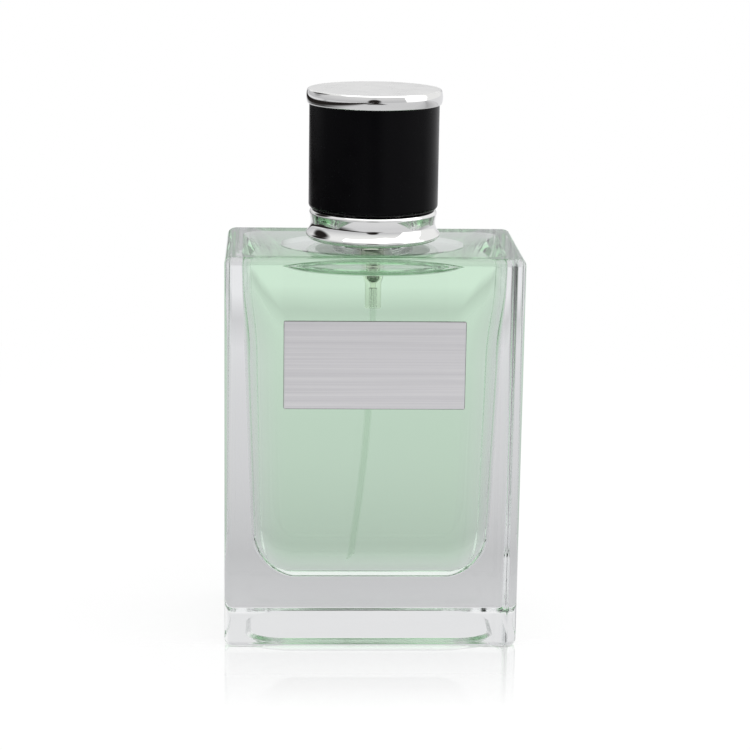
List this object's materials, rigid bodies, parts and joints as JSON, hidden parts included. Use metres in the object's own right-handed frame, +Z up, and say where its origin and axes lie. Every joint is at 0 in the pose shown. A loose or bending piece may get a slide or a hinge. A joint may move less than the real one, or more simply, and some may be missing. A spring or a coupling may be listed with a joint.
{
  "type": "spray bottle",
  "caption": "Thick rectangular glass spray bottle for aftershave or fragrance, with pale green liquid, silver front plate, crimped pump, polished collar and black pull-off cap.",
  "frame": {"origin": "middle of the base, on the surface that the bottle stands on", "axes": "+Z up along the neck, -Y towards the front face with the plate, +X to the right seen from the front"},
  "size_m": [0.064, 0.0402, 0.12],
  "materials": {
    "clear_glass": "polished",
    "green_liquid": "clear liquid",
    "brushed_plate": "brushed",
    "gasket_rubber": "matt",
    "satin_aluminium": "satin",
    "clear_plastic": "translucent",
    "white_plastic": "moulded",
    "spring_steel": "bright",
    "polished_metal": "polished",
    "black_cap": "satin gloss",
    "black_liner": "moulded"
  },
  "bodies": {
    "bottle": {"glass_bottle": "clear_glass", "fragrance_liquid": "green_liquid", "label_plate": "brushed_plate", "neck_gasket": "gasket_rubber", "crimp_ferrule": "satin_aluminium", "pump_housing": "clear_plastic", "housing_closure": "white_plastic", "stem_gasket": "gasket_rubber", "dip_tube": "clear_plastic", "collar": "polished_metal", "collar_grip_ring": "white_plastic", "pump_spring": "spring_steel"},
    "stem": {"pump_stem": "white_plastic"},
    "spray_head": {"actuator_button": "white_plastic", "actuator_sleeve": "polished_metal", "nozzle_insert": "white_plastic"},
    "pump_piston": {"piston": "white_plastic"},
    "check_ball": {"inlet_ball": "spring_steel"},
    "cap": {"cap_sleeve": "black_cap", "cap_liner": "black_liner", "cap_top_disc": "polished_metal"}
  },
  "joints": [
    {"name": "cap_pull", "type": "slide", "parent": "bottle", "child": "cap", "axis": [0, 0, 1], "range_m": [0, 0.045]},
    {"name": "spray_press", "type": "slide", "parent": "bottle", "child": "stem", "axis": [0, 0, -1], "range_m": [0, 0.004], "stiffness_N_per_m": 2500, "springref_m": -0.003, "deforming": ["pump_spring"]},
    {"name": "head_swivel", "type": "hinge", "parent": "stem", "child": "spray_head", "pos_m": [0, 0, 0.106], "axis": [0, 0, 1], "continuous": true},
    {"name": "piston_follow", "type": "slide", "parent": "bottle", "child": "pump_piston", "axis": [0, 0, -1], "range_m": [0, 0.0033]},
    {"name": "ball_lift", "type": "slide", "parent": "bottle", "child": "check_ball", "axis": [0, 0, 1], "range_m": [0, 0.0008]}
  ],
  "couplings": [
    {"joint": "piston_follow", "follows": "spray_press", "ratio": 0.82}
  ]
}
